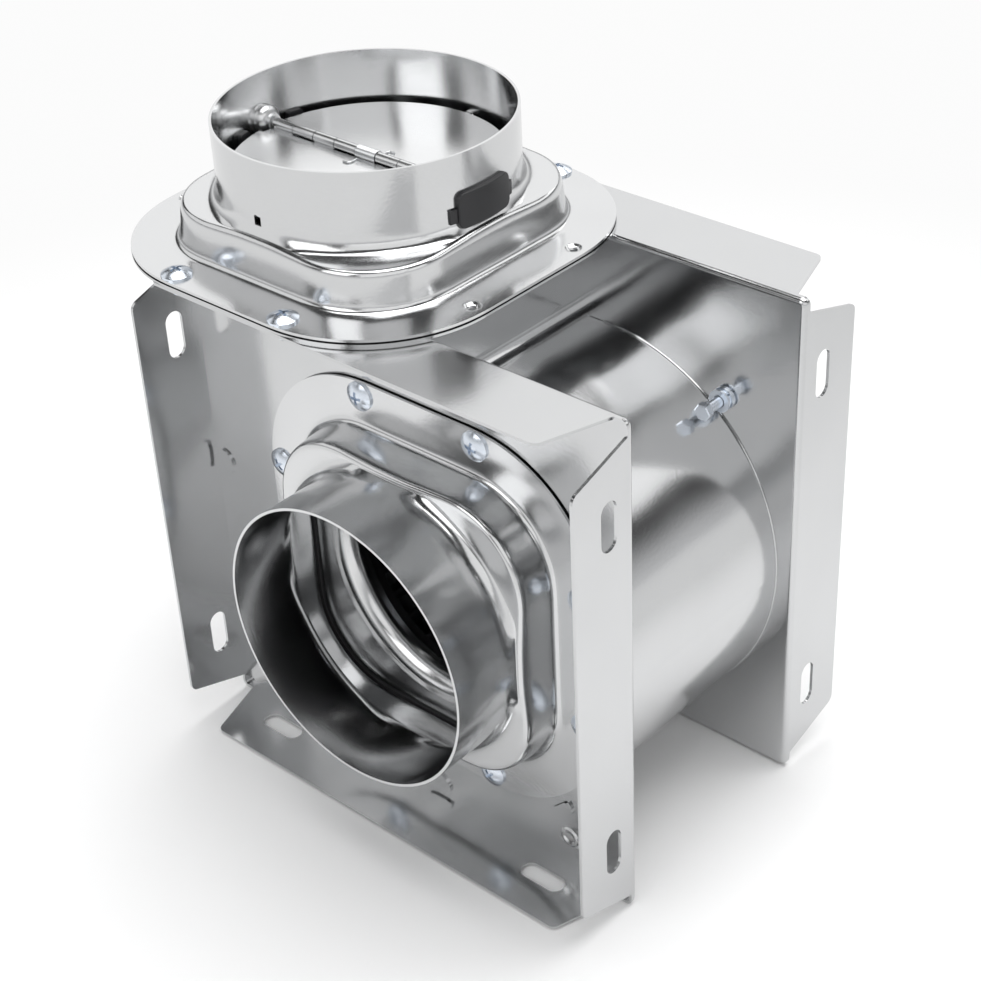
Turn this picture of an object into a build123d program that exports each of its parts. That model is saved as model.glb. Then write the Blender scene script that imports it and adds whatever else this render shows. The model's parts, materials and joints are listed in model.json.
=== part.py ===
from build123d import *
from math import asin, cos, degrees, radians, sin
import os

# Inline duct fan: two square flanged panels, a scroll between them, an inlet collar on the front
# and an outlet collar with a two-flap damper on top. Millimetres. Z is up, the inlet faces -Y, and
# the origin is at the middle of the bounding box's floor, which the bottom flanges stand on.

# Casing sheet
panel_side = 183.0
sheet = 1.0
bend_radius = 1.8
case_gap = 83.0
front_flange = 26.0
back_flange = 28.0
flange_end_inset = 12.8
flange_corner_radius = 3.0
panel_corner_radius = 2.4
corner_relief = 5.0
slot_length = 17.0
slot_width = 7.0
slot_pitch = 122.8
slot_line = 11.4

# Scroll, measured on its outer face
scroll_sheet = 0.8
scroll_crown = 59.2
scroll_start = 14.3
scroll_radius_1 = 70.7
scroll_radius_2 = 76.4
scroll_radius_3 = 96.1
throat_wall = 1.6
tongue_radius = 5.0
tab_radius = 5.0
tab_neck = 6.0
tab_sheet = 0.8
tab_play = 0.15
tab_end_gap = 0.8
tab_root = 0.5

# Collars
duct_diameter = 98.0
collar_sheet = 0.9
collar_height = 40.6
base_radius = 45.5
foot_half = 52.9
foot_radius = 29.8
shoulder_half = 51.7
shoulder_radius = 29.6
shoulder_height = 14.1
shoulder_round = 1.3
shoulder_inner_round = 0.7
tube_foot_round = 1.1
foot_round = 1.6
outlet_sheet = 0.8
gasket_sheet = 0.6
gasket_inset = 1.5
inlet_offset_x = 9.5
inlet_offset_z = -2.6
outlet_offset_x = -47.9

# Collar screws
collar_screw_near = 23.9
collar_screw_edge = 5.1
screw_radius = 1.9
screw_hole_radius = 2.1
screw_tail = 2.0
head_radius = 5.0
head_height = 2.4
head_rim = 0.3
recess_length = 4.4
recess_width = 1.0
recess_depth = 1.5
inlet_screw_length = 5.5
outlet_screw_length = 6.6
dimple_radius = 2.9
dimple_depth = 0.8
dimple_hole_radius = 1.4

# Bellmouth
mouth_radius = 45.2
mouth_flange_radius = 50.0
throat_radius = 38.5
mouth_sheet = 0.8
mouth_straight = 2.1

# Damper
rod_height = 24.4
rod_radius = 1.2
rod_play = 0.06
knuckle_wall = 0.6
knuckle_count = 4
knuckle_gap = 0.35
flap_radius = 45.0
flap_cutback = 2.1
bush_length = 5.0
bush_radius = 5.0
bush_nose_radius = 2.7
bush_nose_length = 1.6
bush_notch_gap = 0.9
spring_length = 8.6
spring_wire = 0.6
spring_turns = 10
spring_radius = 2.5
leg_reach = 4.5
leg_hook = 2.5
leg_bend = 1.0
stop_width = 2.8
stop_reach = 5.2
stop_gap = 0.3
window_height = 3.4
cover_width = 23.0
cover_height = 11.8
cover_drop = 2.1
cover_thickness = 1.6
cover_corner = 2.6
cover_lip = 0.5
hook_span = 11.6
hook_width = 5.0
hook_height = 5.8
hook_corner = 1.0
hook_drop = 3.2
hook_neck_height = 4.6
hook_neck_width = 2.6
hook_thickness = 1.5
hook_play = 0.2

# Impeller and shaft
impeller_radius = 49.0
impeller_inner_radius = 41.0
impeller_front = 11.0
impeller_ring = 3.0
impeller_length = 63.0
impeller_wall = 1.8
blade_count = 28
blade_wall = 1.1
blade_sag = 2.2
cup_radius = 38.6
cup_face = 46.0
hub_radius = 8.5
hub_front = 40.0
hub_back = 56.0
shaft_radius = 3.0
shaft_front = 34.5
shaft_back = 98.0
shaft_play = 0.05
bush_wall = 2.6
hub_nut_flats = 10.0
hub_nut_height = 4.5

# Motor
motor_radius = 33.0
motor_wall = 1.0
motor_front = 58.0
motor_joint = 79.0
motor_back = 101.0
motor_edge_round = 4.0
bearing_radius = 8.0
bearing_length = 6.0
bearing_inset = 2.0
boss_wall = 2.0
stack_front = 70.0
stack_back = 88.0
stator_bore = 18.0
rotor_gap = 0.5
stator_slots = 8
stator_slot_width = 7.0
stator_slot_inner = 20.5
stator_slot_outer = 28.5
winding_play = 0.2
winding_head = 5.0

# Motor plate and its rubber mounts
service_hole_radius = 51.0
motor_plate_radius = 60.0
motor_plate_sheet = 1.2
plate_screw_radius = 55.5
plate_screw_count = 6
plate_screw_start = 30.0
motor_hole_gap = 1.5
mount_radius = 40.0
mount_count = 4
mount_start = 45.0
ear_width = 11.0
ear_sheet = 2.0
rubber_radius = 5.2
rubber_neck_radius = 3.4
rubber_flange = 1.8
rubber_wall_gap = 0.1

# Terminal box and electrics in the back pocket
box_x = -58.0
box_z = 60.0
box_width = 40.0
box_height = 40.0
box_depth = 21.0
box_wall = 1.6
box_lid = 2.0
box_corner = 3.0
box_screw_inset = 5.0
box_post_side = 5.0
box_post_reach = 1.0
box_lid_round = 0.8
box_head_radius = 3.4
box_head_height = 2.0
lid_screw_radius = 1.1
lid_screw_length = 6.0
lid_screw_head = 2.8
lid_screw_height = 1.6
lid_pilot_radius = 1.2
lid_hole_radius = 1.5
block_width = 24.0
block_height = 11.0
block_depth = 9.0
block_hole_radius = 1.8
block_hole_depth = 3.0
gland_x = -67.0
gland_radius = 8.0
gland_bore = 3.6
gland_flange = 2.5
gland_length = 17.0
gland_neck_wall = 2.3
gland_neck_play = 0.1
gland_neck_grip = 2.0
gland_nose_inset = 1.0
gland_nose_round = 2.0
capacitor_x = -59.0
capacitor_z = -71.0
capacitor_width = 37.0
capacitor_height = 20.0
capacitor_depth = 22.0
capacitor_corner = 1.5
capacitor_round = 1.0
capacitor_lead_x = -56.0
box_lead_x = -48.0
bracket_sheet = 1.0
bracket_play = 0.1
bracket_width = 12.0
bracket_ear = 9.0
bracket_head_radius = 3.8
lead_radius = 2.2
lead_level = 93.5
lead_angle = 112.0
lead_insert = 3.0
lead_bend = 22.0
lead_rise = 30.0
motor_lead_bend = 12.0
lead_play = 0.05
grommet_neck = 0.9
grommet_flange = 1.8
grommet_lip = 1.2
grommet_seat = 0.2

# Earth bolt
earth_x = 62.5
earth_z = 47.5
earth_radius = 1.9
earth_hole_radius = 2.1
earth_length = 9.5
earth_head_flats = 5.5
earth_head_height = 2.4
earth_washer_radius = 3.9
earth_washer_sheet = 0.8
earth_spring_radius = 3.3
earth_spring_sheet = 1.1
earth_nut_flats = 7.0
earth_nut_height = 3.2
nut_play = 0.05

# Places worked out from the sizes above. Panel coordinates have x to the right and z up from the
# middle of the front panel, and y backwards from that panel's front face.
half = panel_side / 2
back_level = sheet + case_gap
flange_front = -front_flange
flange_back = back_level + back_flange
base_side = flange_back - flange_front
base_half = base_side / 2
outlet_y = (flange_front + flange_back) / 2
collar_screw_far = base_half - collar_screw_edge
duct_radius = duct_diameter / 2
duct_inner = duct_radius - collar_sheet
inlet_reach = gasket_sheet + collar_height
case_x = (base_half - outlet_offset_x - half) / 2
front_y = (inlet_reach - flange_back) / 2
outlet_level = half + outlet_sheet + gasket_sheet
rod_level = outlet_level + rod_height


def at(x, y, z):
    return (case_x + x, front_y + y, half + z)


def facing_front(x, y, z):
    return Plane(origin=at(x, y, z), x_dir=(1, 0, 0), z_dir=(0, -1, 0))


def facing_back(x, y, z):
    return Plane(origin=at(x, y, z), x_dir=(-1, 0, 0), z_dir=(0, 1, 0))


def facing_up(x, y, z):
    return Plane(origin=at(x, y, z), x_dir=(1, 0, 0), z_dir=(0, 0, 1))


def facing_down(x, y, z):
    return Plane(origin=at(x, y, z), x_dir=(1, 0, 0), z_dir=(0, 0, -1))


def facing_right(x, y, z):
    return Plane(origin=at(x, y, z), x_dir=(0, 1, 0), z_dir=(1, 0, 0))


def inlet_axis(y):
    return facing_back(inlet_offset_x, y, inlet_offset_z)


outlet_base = facing_up(outlet_offset_x, outlet_y, outlet_level)
inlet_base = facing_front(inlet_offset_x, -gasket_sheet, inlet_offset_z)
side_screws = [(s * collar_screw_far, t * collar_screw_near) for s in (-1, 1) for t in (-1, 1)]
end_screws = [(s * collar_screw_near, t * collar_screw_far) for s in (-1, 1) for t in (-1, 1)]
ring_screws = side_screws + end_screws

os.makedirs("parts", exist_ok=True)


def save(piece, name):
    piece.part.label = name
    export_step(piece.part, "parts/" + name + ".step")


# Flanged panels
def wall_planes(skin):
    """Planes on the outer faces of the four flanges, local y along the flange's depth."""
    turns = {"right": 0, "up": 90, "left": 180, "down": 270}
    planes = {}
    for side, turn in turns.items():
        out = skin.x_dir * cos(radians(turn)) + skin.y_dir * sin(radians(turn))
        along = out.cross(skin.z_dir) * -1
        planes[side] = Plane(origin=skin.origin + out * half, x_dir=along, z_dir=out)
    return planes


def flanged_panel(skin, depth, slotted):
    """A square sheet with four flanges along skin's z direction and slots in the named flanges."""
    with BuildPart() as panel:
        with BuildSketch(skin):
            RectangleRounded(panel_side, panel_side, panel_corner_radius)
        extrude(amount=depth)
        rim = panel.edges().filter_by(lambda e: abs(skin.to_local_coords(e.center()).Z) < 0.01)
        fillet(rim, bend_radius)
        with BuildSketch(skin.offset(sheet)):
            inner_side = panel_side - 2 * sheet
            RectangleRounded(inner_side, inner_side, panel_corner_radius - sheet)
        extrude(amount=depth, mode=Mode.SUBTRACT)
        walls = wall_planes(skin)
        relief_start = bend_radius + sheet
        for side, wall in walls.items():
            for end in (-1, 1):
                with BuildSketch(wall):
                    with BuildLine():
                        Polyline(
                            (end * (half - corner_relief), relief_start),
                            (end * (half + sheet), relief_start),
                            (end * (half + sheet), depth + sheet),
                            (end * (half - flange_end_inset), depth + sheet),
                            (end * (half - flange_end_inset), depth),
                            close=True,
                        )
                    make_face()
                extrude(amount=-panel_corner_radius, mode=Mode.SUBTRACT)
            if side in slotted:
                with BuildSketch(wall):
                    with Locations((-slot_pitch / 2, slot_line), (slot_pitch / 2, slot_line)):
                        SlotOverall(slot_length, slot_width)
                extrude(amount=-2 * sheet, mode=Mode.SUBTRACT)
        tips = panel.edges().filter_by(
            lambda e: abs(e.length - sheet) < 0.01 and abs(skin.to_local_coords(e.center()).Z - depth) < 0.01
        )
        fillet(tips, flange_corner_radius)
    return panel.part


# Scroll outline in panel coordinates, for its outer face (inset 0) or its inner face (inset sheet)
elbow_x = scroll_start + scroll_radius_1 - scroll_radius_2
elbow_z = scroll_crown - scroll_radius_1
belly_z = elbow_z - scroll_radius_2 + scroll_radius_3
left_wall = elbow_x - scroll_radius_3


def quarter(center, radius, start_angle, turn=-90):
    return CenterArc(center, radius, start_angle, turn)


def scroll_path(inset):
    """Edges of one face of the strip, from the throat wall's top edge to the left wall's."""
    crown = scroll_crown - inset
    throat = throat_wall - inset
    tongue = tongue_radius + inset
    tongue_center = (throat_wall + tongue_radius, scroll_crown + tongue_radius)
    Line((throat, half), (throat, tongue_center[1]))
    quarter(tongue_center, tongue, 180, 90)
    Line((tongue_center[0], crown), (scroll_start, crown))
    quarter((scroll_start, elbow_z), scroll_radius_1 - inset, 90)
    quarter((elbow_x, elbow_z), scroll_radius_2 - inset, 0)
    quarter((elbow_x, belly_z), scroll_radius_3 - inset, -90)
    Line((left_wall + inset, belly_z), (left_wall + inset, half))


# Tab places on the scroll as centre and direction along the strip, with 1 where the tab folds
# inwards and -1 where it folds outwards
def on_arc(center, radius, angle):
    x = center[0] + (radius - scroll_sheet / 2) * cos(radians(angle))
    z = center[1] + (radius - scroll_sheet / 2) * sin(radians(angle))
    return x, z, angle - 90


crown_tab = ((tongue_radius + throat_wall + scroll_start) / 2, scroll_crown - scroll_sheet / 2, 0)
side_tab = on_arc((scroll_start, elbow_z), scroll_radius_1, 24)
corner_tab = on_arc((elbow_x, elbow_z), scroll_radius_2, -46)
bottom_tab = on_arc((elbow_x, belly_z), scroll_radius_3, -91)
left_tab = (left_wall + scroll_sheet / 2, belly_z, 90)
front_tabs = [(left_tab, 1), (bottom_tab, 1), (corner_tab, -1)]
back_tabs = [(crown_tab, -1), (side_tab, -1), (corner_tab, -1), (left_tab, 1)]


def tab_plane(spot, y, outward):
    x, z, direction = spot
    run = (cos(radians(direction)), 0, sin(radians(direction)))
    return Plane(origin=at(x, y, z), x_dir=run, z_dir=(0, outward, 0))


# Front and back panels
front_blank = flanged_panel(facing_front(0, sheet, 0), front_flange + sheet, ("right", "left", "down"))
with BuildPart() as front_plate:
    add(front_blank)
    with BuildSketch(facing_front(inlet_offset_x, sheet, inlet_offset_z)):
        Circle(mouth_radius)
        with Locations(*ring_screws):
            Circle(screw_hole_radius)
    extrude(amount=2 * sheet, mode=Mode.SUBTRACT)
    for spot, fold in front_tabs:
        with BuildSketch(tab_plane(spot, sheet, -1)):
            Rectangle(tab_neck + 2 * tab_end_gap, scroll_sheet + 2 * tab_play)
        extrude(amount=sheet, mode=Mode.SUBTRACT)
    with BuildSketch(facing_up(outlet_offset_x, outlet_y, half)):
        with Locations(*[p for p in end_screws if p[1] < 0]):
            Circle(screw_hole_radius)
    extrude(amount=-sheet, mode=Mode.SUBTRACT)

box_fixings = [(s * (box_width / 2 - box_screw_inset), 0) for s in (-1, 1)]
box_origin = facing_back(box_x, back_level + sheet, box_z)
capacitor_origin = facing_back(capacitor_x, back_level + sheet, capacitor_z)
bracket_screw_x = capacitor_width / 2 + bracket_play + bracket_sheet + bracket_ear / 2

back_blank = flanged_panel(facing_back(0, back_level, 0), back_flange, ("right", "left", "down"))
with BuildPart() as back_plate:
    add(back_blank)
    with BuildSketch(inlet_axis(back_level)):
        Circle(service_hole_radius)
        with PolarLocations(plate_screw_radius, plate_screw_count, start_angle=plate_screw_start):
            Circle(screw_hole_radius)
    extrude(amount=2 * sheet, mode=Mode.SUBTRACT)
    for spot, fold in back_tabs:
        with BuildSketch(tab_plane(spot, back_level, 1)):
            Rectangle(tab_neck + 2 * tab_end_gap, scroll_sheet + 2 * tab_play)
        extrude(amount=sheet, mode=Mode.SUBTRACT)
    with BuildSketch(facing_up(outlet_offset_x, outlet_y, half)):
        with Locations(*[p for p in end_screws if p[1] > 0]):
            Circle(screw_hole_radius)
    extrude(amount=-sheet, mode=Mode.SUBTRACT)
    with BuildSketch(facing_back(earth_x, back_level, earth_z)):
        Circle(earth_hole_radius)
    extrude(amount=sheet, mode=Mode.SUBTRACT)
    with BuildSketch(box_origin):
        with Locations(*box_fixings):
            Circle(screw_hole_radius)
    with BuildSketch(capacitor_origin):
        with Locations((-bracket_screw_x, 0)):
            Circle(screw_hole_radius)
    extrude(amount=-sheet, mode=Mode.SUBTRACT)

# Scroll strip with its half-round tabs folded flat on the panels' outer faces
with BuildPart() as scroll_wrap:
    with BuildSketch(facing_front(0, back_level, 0)):
        with BuildLine():
            scroll_path(0)
            scroll_path(scroll_sheet)
            Line((throat_wall, half), (throat_wall - scroll_sheet, half))
            Line((left_wall, half), (left_wall + scroll_sheet, half))
        make_face()
    extrude(amount=case_gap)
    for tabs, face_y, outward in ((front_tabs, sheet, -1), (back_tabs, back_level, 1)):
        for spot, fold in tabs:
            neck = tab_plane(spot, face_y, outward)
            with BuildSketch(neck.offset(-tab_root)):
                Rectangle(tab_neck, scroll_sheet)
            extrude(amount=tab_root + sheet + tab_sheet)
            with BuildSketch(neck.offset(sheet)):
                Circle(tab_radius)
                with Locations((0, -fold * outward * tab_radius)):
                    Rectangle(2 * tab_radius, 2 * tab_radius, mode=Mode.SUBTRACT)
            extrude(amount=tab_sheet)

# Adapter sheet under the outlet collar
with BuildPart() as outlet_plate:
    with BuildSketch(facing_up(outlet_offset_x, outlet_y, half)):
        RectangleRounded(base_side, base_side, base_radius)
        with Locations(*end_screws):
            Circle(screw_hole_radius, mode=Mode.SUBTRACT)
        with Locations(*side_screws):
            Circle(dimple_radius, mode=Mode.SUBTRACT)
        mouth_left = left_wall + scroll_sheet
        mouth_right = throat_wall - scroll_sheet
        mouth_x = (mouth_left + mouth_right) / 2 - outlet_offset_x
        mouth_y = (sheet + back_level) / 2 - outlet_y
        with Locations((mouth_x, mouth_y)):
            Rectangle(mouth_right - mouth_left, case_gap, mode=Mode.SUBTRACT)
    extrude(amount=outlet_sheet)


# Foam gaskets, the collars' base outline set in, open inside the drawn foot
def gasket(plane):
    with BuildPart() as seal:
        with BuildSketch(plane):
            inset_side = base_side - 2 * gasket_inset
            RectangleRounded(inset_side, inset_side, base_radius - gasket_inset)
            RectangleRounded(2 * foot_half, 2 * foot_half, foot_radius, mode=Mode.SUBTRACT)
            with Locations(*ring_screws):
                Circle(dimple_radius, mode=Mode.SUBTRACT)
        extrude(amount=gasket_sheet)
    return seal


inlet_gasket = gasket(facing_front(inlet_offset_x, 0, inlet_offset_z))
outlet_gasket = gasket(outlet_base.offset(-gasket_sheet))


# Deep-drawn collars
def drawn_profile(plane, inset, rise):
    """Foot and tube as one solid, drawn in by inset; rise lowers its shoulder by the sheet."""
    with BuildPart() as form:
        top = shoulder_height - rise
        with BuildSketch(plane):
            RectangleRounded(2 * (foot_half - inset), 2 * (foot_half - inset), foot_radius - inset)
        with BuildSketch(plane.offset(top)):
            side = 2 * (shoulder_half - inset)
            RectangleRounded(side, side, shoulder_radius - inset)
        loft()
        with BuildSketch(plane.offset(top)):
            Circle(duct_radius - inset)
        extrude(amount=collar_height - top + inset)
        on_top = form.edges().filter_by(lambda e: abs(plane.to_local_coords(e.center()).Z - top) < 0.01)
        tube_foot = on_top.filter_by(GeomType.CIRCLE).filter_by(
            lambda e: abs(e.radius - duct_radius + inset) < 0.01
        )
        fillet(tube_foot, tube_foot_round + inset)
        on_top = form.edges().filter_by(lambda e: abs(plane.to_local_coords(e.center()).Z - top) < 0.01)
        beyond = duct_radius + tube_foot_round + collar_sheet / 2
        outline = on_top.filter_by(lambda e: plane.to_local_coords(e.position_at(0)).length > beyond)
        fillet(outline, shoulder_inner_round if inset else shoulder_round)
    return form.part


def stamped_collar(plane, dimples):
    """Base sheet, drawn foot and duct tube; dimples lists the holes that hold no screw."""
    with BuildPart() as collar:
        with BuildSketch(plane):
            RectangleRounded(base_side, base_side, base_radius)
        extrude(amount=collar_sheet)
        add(drawn_profile(plane, 0, 0))
        on_base = collar.edges().filter_by(
            lambda e: abs(plane.to_local_coords(e.center()).Z - collar_sheet) < 0.01
        )
        reach = lambda e: max(abs(v) for v in plane.to_local_coords(e.center()))
        fillet(on_base.filter_by(lambda e: reach(e) < foot_half + 1), foot_round)
        add(drawn_profile(plane, collar_sheet, collar_sheet), mode=Mode.SUBTRACT)
        for spot in ring_screws:
            dimpled = spot in dimples
            if dimpled:
                with BuildSketch(plane):
                    with Locations(spot):
                        Circle(dimple_radius - tab_play)
                extrude(amount=-dimple_depth)
                with BuildSketch(plane.offset(collar_sheet)):
                    with Locations(spot):
                        Circle(dimple_radius)
                extrude(amount=-dimple_depth, taper=45, mode=Mode.SUBTRACT)
            with BuildSketch(plane.offset(collar_sheet)):
                with Locations(spot):
                    Circle(dimple_hole_radius if dimpled else screw_hole_radius)
            extrude(amount=-collar_sheet - dimple_depth, mode=Mode.SUBTRACT)
    return collar.part


inlet_stamping = stamped_collar(inlet_base, [])
outlet_stamping = stamped_collar(outlet_base, side_screws)
with BuildPart() as inlet_collar:
    add(inlet_stamping)


# Screws with a truss head and a cross recess
def truss_screw(shank_radius, length, head_r, head_h):
    """Head above the local origin and shank below it, the head's top a shallow dome."""
    rim = head_rim * head_h
    dome_radius = (head_r**2 + (head_h - rim) ** 2) / (2 * (head_h - rim))
    dome_angle = degrees(asin(head_r / dome_radius))
    with BuildPart() as screw:
        with BuildSketch(Plane.XZ):
            with BuildLine():
                Line((0, -length), (shank_radius - 0.4, -length))
                Line((shank_radius - 0.4, -length), (shank_radius, -length + 0.4))
                Line((shank_radius, -length + 0.4), (shank_radius, 0))
                Line((shank_radius, 0), (head_r, 0))
                Line((head_r, 0), (head_r, rim))
                CenterArc((0, head_h - dome_radius), dome_radius, 90 - dome_angle, dome_angle)
                Line((0, head_h), (0, -length))
            make_face()
        revolve(axis=Axis.Z)
        scale = head_r / head_radius
        with BuildSketch(Plane.XY.offset(head_h)):
            for turn in (0, 90):
                Rectangle(recess_length * scale, recess_width * scale, rotation=turn)
        extrude(amount=-recess_depth * head_h / head_height, mode=Mode.SUBTRACT)
    return screw.part


def screw_group(plane, spots, screw, spin=0):
    """The same screw at each spot of a plane, each turned a little further than the last."""
    with BuildPart() as group:
        for number, spot in enumerate(spots):
            place = plane * Pos(spot[0], spot[1], 0) * Rot(0, 0, spin + 37 * number)
            add(place * screw)
    return group


inlet_screw = truss_screw(screw_radius, inlet_screw_length, head_radius, head_height)
outlet_screw = truss_screw(screw_radius, outlet_screw_length, head_radius, head_height)
inlet_screws = screw_group(inlet_base.offset(collar_sheet), ring_screws, inlet_screw)
outlet_screws = screw_group(outlet_base.offset(collar_sheet), end_screws, outlet_screw)

# Spun bellmouth behind the front panel's hole
with BuildPart() as inlet_ring:
    curl = mouth_radius - mouth_sheet - throat_radius
    lip = curl + mouth_straight
    with BuildSketch(facing_up(inlet_offset_x, sheet, inlet_offset_z)):
        with BuildLine():
            Line((mouth_flange_radius, 0), (throat_radius + curl, 0))
            CenterArc((throat_radius + curl, curl), curl, -90, -90)
            Line((throat_radius, curl), (throat_radius, lip))
            Line((throat_radius, lip), (throat_radius + mouth_sheet, lip))
            Line((throat_radius + mouth_sheet, lip), (throat_radius + mouth_sheet, curl))
            CenterArc((throat_radius + curl, curl), curl - mouth_sheet, -180, 90)
            Line((throat_radius + curl, mouth_sheet), (mouth_flange_radius, mouth_sheet))
            Line((mouth_flange_radius, mouth_sheet), (mouth_flange_radius, 0))
        make_face()
    revolve(axis=Axis(at(inlet_offset_x, 0, inlet_offset_z), (0, 1, 0)))

# Damper: rod, bosses in the tube wall, spring, flaps and covers
knuckle_inner = rod_radius + rod_play
knuckle_radius = knuckle_inner + knuckle_wall
rod_start = facing_right(outlet_offset_x, outlet_y, rod_level)
rod_reach = duct_radius + 0.5

with BuildPart() as damper_rod:
    with BuildSketch(rod_start.offset(-rod_reach)):
        Circle(rod_radius)
    extrude(amount=2 * rod_reach)


def damper_bush(side):
    """Stepped boss in the tube wall, its nose towards the middle of the tube."""
    with BuildPart() as bush:
        inner = duct_inner - bush_length
        profile = Plane(origin=rod_start.origin, x_dir=(side, 0, 0), z_dir=(0, -side, 0))
        with BuildSketch(profile):
            with BuildLine():
                Line((inner, knuckle_inner), (inner, bush_nose_radius))
                Line((inner, bush_nose_radius), (inner + bush_nose_length, bush_nose_radius))
                ThreePointArc(
                    (inner + bush_nose_length, bush_nose_radius),
                    (inner + bush_nose_length + 0.7, bush_radius - 0.6),
                    (duct_inner - 0.8, bush_radius),
                )
                Line((duct_inner - 0.8, bush_radius), (duct_inner + 0.2, bush_radius))
                Line((duct_inner + 0.2, bush_radius), (duct_inner + 0.2, knuckle_inner))
                Line((duct_inner + 0.2, knuckle_inner), (inner, knuckle_inner))
            make_face()
        revolve(axis=Axis(rod_start.origin, (1, 0, 0)))
        with BuildSketch(facing_up(outlet_offset_x, outlet_y, rod_level - 2 * bush_radius)):
            Circle(duct_radius + bush_radius)
            Circle(duct_inner - 0.05, mode=Mode.SUBTRACT)
        extrude(amount=4 * bush_radius, mode=Mode.SUBTRACT)
    return bush


damper_bush_left = damper_bush(-1)
damper_bush_right = damper_bush(1)

with BuildPart() as damper_spring:
    wire_pitch = spring_length / spring_turns
    with BuildSketch(facing_front(outlet_offset_x, outlet_y, rod_level)):
        with BuildLine():
            x_end = spring_length / 2
            Line((-x_end, spring_radius - wire_pitch / 2), (-x_end, knuckle_inner))
            Line((-x_end, knuckle_inner), (x_end, knuckle_inner))
            Line((x_end, knuckle_inner), (x_end, spring_radius - wire_pitch / 2))
            for turn in range(spring_turns):
                right = x_end - turn * wire_pitch
                middle = (right - wire_pitch / 2, spring_radius - wire_pitch / 5)
                left = (right - wire_pitch, spring_radius - wire_pitch / 2)
                ThreePointArc((right, spring_radius - wire_pitch / 2), middle, left)
        make_face()
    revolve(axis=Axis(rod_start.origin, (1, 0, 0)))

knuckle_start = spring_length / 2 + knuckle_gap
knuckle_end = duct_inner - bush_length - knuckle_gap
knuckle_pitch = (knuckle_end - knuckle_start) / knuckle_count


def knuckle_spans(front):
    """Stretches along the rod that this flap's knuckles take, the other flap's lie between them."""
    spans = []
    for number in range(knuckle_count):
        mine = (number % 2 == 1) == front
        start = knuckle_start + number * knuckle_pitch
        if mine:
            spans.append((start, start + knuckle_pitch - knuckle_gap))
            spans.append((-start - knuckle_pitch + knuckle_gap, -start))
    return spans


def damper_flap(side):
    """Half disc hinged on the rod, side -1 towards the front and 1 towards the back."""
    with BuildPart() as flap:
        spans = knuckle_spans(side < 0)
        bottom = facing_up(outlet_offset_x, outlet_y, rod_level - knuckle_radius)
        with BuildSketch(bottom):
            Circle(flap_radius)
            with Locations((0, side * (flap_cutback - flap_radius))):
                Rectangle(2 * flap_radius, 2 * flap_radius, mode=Mode.SUBTRACT)
            for end in (-1, 1):
                with Locations((end * duct_inner, 0)):
                    notch = 2 * (bush_radius + bush_notch_gap)
                    Rectangle(2 * (bush_length + knuckle_gap), notch, mode=Mode.SUBTRACT)
            for start, end in spans:
                with Locations(((start + end) / 2, side * (flap_cutback + 0.5) / 2)):
                    Rectangle(end - start, flap_cutback + 0.5)
        extrude(amount=knuckle_wall)
        for start, end in spans:
            with BuildSketch(rod_start.offset(start)):
                Circle(knuckle_radius)
            extrude(amount=end - start)
        for start, end in spans:
            with BuildSketch(rod_start.offset(start)):
                Circle(knuckle_inner)
            extrude(amount=end - start, mode=Mode.SUBTRACT)
    return flap


def spring_leg(side):
    """Wire leg of the torsion spring, lying on its flap beside the coil."""
    with BuildPart() as leg:
        top = rod_level - knuckle_radius + knuckle_wall + spring_wire / 2
        x = outlet_offset_x + side * spring_length / 4
        near = outlet_y + side * (spring_radius + 0.5 + spring_wire / 2)
        far = outlet_y + side * (spring_radius + leg_reach)
        with BuildLine() as route:
            hook_end = at(x + side * leg_hook, far, top)
            FilletPolyline(at(x, near, top), at(x, far, top), hook_end, radius=leg_bend)
        with BuildSketch(Plane(origin=at(x, near, top), x_dir=(1, 0, 0), z_dir=(0, side, 0))):
            Circle(spring_wire / 2)
        sweep()
    return leg


damper_flap_front = damper_flap(-1)
damper_flap_back = damper_flap(1)
spring_leg_front = spring_leg(-1)
spring_leg_back = spring_leg(1)

# Openings in the outlet tube for the rod, the bushes, the covers' hooks and the flap stops
with BuildPart() as outlet_collar:
    add(outlet_stamping)
    with BuildSketch(rod_start.offset(-duct_radius - 1)):
        Circle(rod_radius + rod_play)
        for end in (-1, 1):
            with Locations((end * hook_span, -hook_drop)):
                Rectangle(hook_neck_width + 2 * hook_play, hook_neck_height + 2 * hook_play)
    extrude(amount=2 * (duct_radius + 1), mode=Mode.SUBTRACT)
    for side in (-1, 1):
        stop_top = rod_height - knuckle_radius - stop_gap
        wall_plane = Plane(
            origin=outlet_base.from_local_coords((0, 0, stop_top)), x_dir=(1, 0, 0), z_dir=(0, side, 0)
        )
        with BuildSketch(wall_plane):
            with Locations((0, -side * window_height / 2)):
                Rectangle(stop_width, window_height)
        extrude(amount=duct_radius + 1, mode=Mode.SUBTRACT)
        with BuildSketch(outlet_base.offset(stop_top)):
            with Locations((0, side * (duct_inner + collar_sheet / 2 - stop_reach / 2))):
                Rectangle(stop_width, stop_reach)
        extrude(amount=-collar_sheet)


def wall_shell(inner, outer, z_low, z_high):
    """Ring of the outlet tube's curvature between two heights above the outlet's base."""
    with BuildPart() as shell:
        with BuildSketch(outlet_base.offset(z_low)):
            Circle(outer)
            Circle(inner, mode=Mode.SUBTRACT)
        extrude(amount=z_high - z_low)
    return shell.part


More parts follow.
